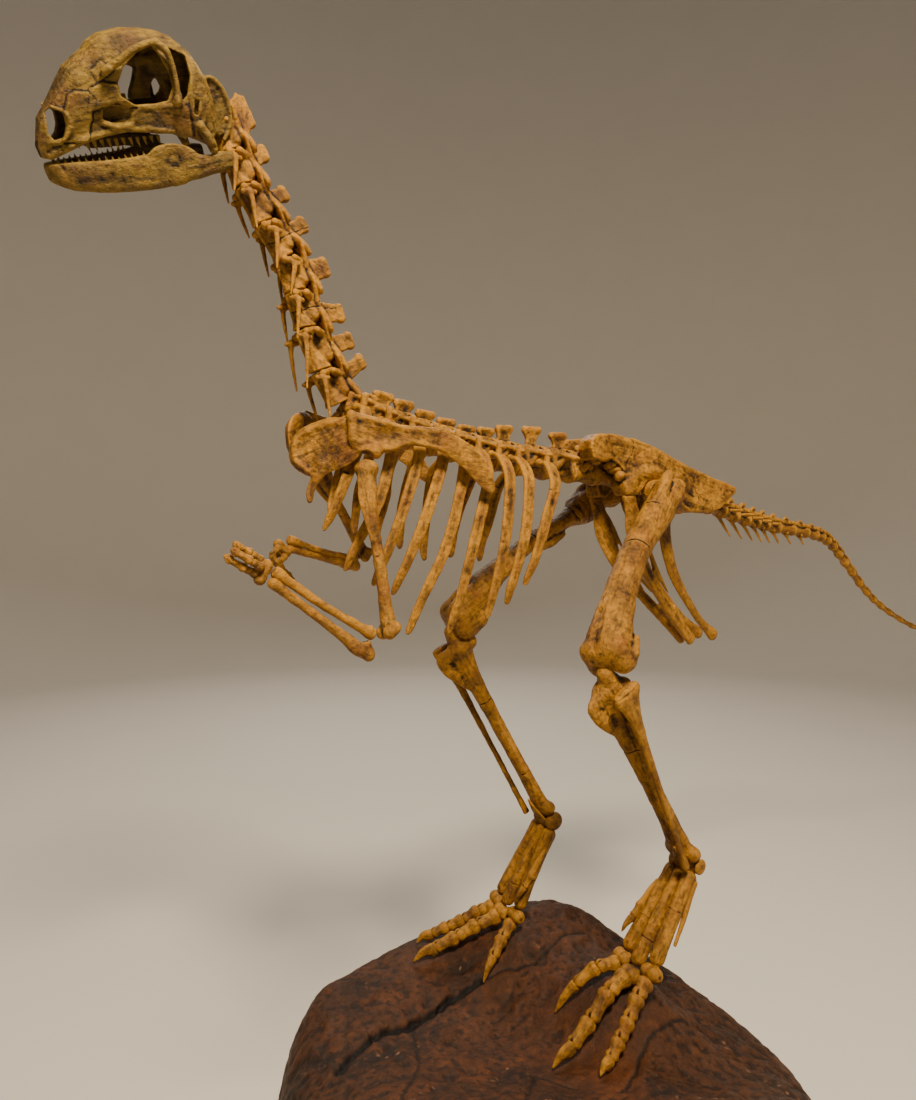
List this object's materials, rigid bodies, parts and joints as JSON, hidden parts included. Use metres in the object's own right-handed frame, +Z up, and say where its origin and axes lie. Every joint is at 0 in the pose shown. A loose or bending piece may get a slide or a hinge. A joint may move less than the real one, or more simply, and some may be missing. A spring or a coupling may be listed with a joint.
{
  "type": "mounted dinosaur skeleton",
  "caption": "Life-size standing skeleton of a small two-legged dinosaur with beaked, toothed skull, folded forearms, backward pubis and a low tail, on a brown rock base",
  "frame": {"origin": "Centre of the rock's flat underside", "axes": "+X from the head towards the tail, -Y the animal's left side, +Z up"},
  "size_m": [2.3114, 0.7879, 1.4346],
  "materials": {
    "bone": "cast bone, tan ochre with dark brown stain in the hollows, dull",
    "skull_bone": "cast bone, tan ochre, dull, slightly smoother",
    "rock": "cast rock, red brown with rusty patches, fine specks that glisten"
  },
  "bodies": {
    "root": {"neck_1": "bone", "neck_2": "bone", "neck_3": "bone", "rib_cage_left": "bone", "rib_cage_right": "bone", "sacrum": "bone", "tail_1": "bone", "tail_2": "bone", "tail_3": "bone", "ilium_left": "bone", "ilium_right": "bone", "pubis_left": "bone", "pubis_right": "bone", "ischium_left": "bone", "ischium_right": "bone", "femur_left": "bone", "femur_right": "bone", "tibia_left": "bone", "tibia_right": "bone", "fibula_left": "bone", "fibula_right": "bone", "ankle_left": "bone", "ankle_right": "bone", "instep_left": "bone", "instep_right": "bone", "toe_1_left": "bone", "toe_1_right": "bone", "toe_2_left": "bone", "toe_2_right": "bone", "toe_3_left": "bone", "toe_3_right": "bone", "toe_4_left": "bone", "toe_4_right": "bone", "scapula_left": "bone", "scapula_right": "bone", "coracoid_left": "bone", "coracoid_right": "bone", "humerus_left": "bone", "humerus_right": "bone", "ulna_left": "bone", "ulna_right": "bone", "radius_left": "bone", "radius_right": "bone", "hand_left": "bone", "hand_right": "bone", "skull": "skull_bone", "lower_jaw": "skull_bone", "rock_base": "rock"}
  },
  "joints": []
}
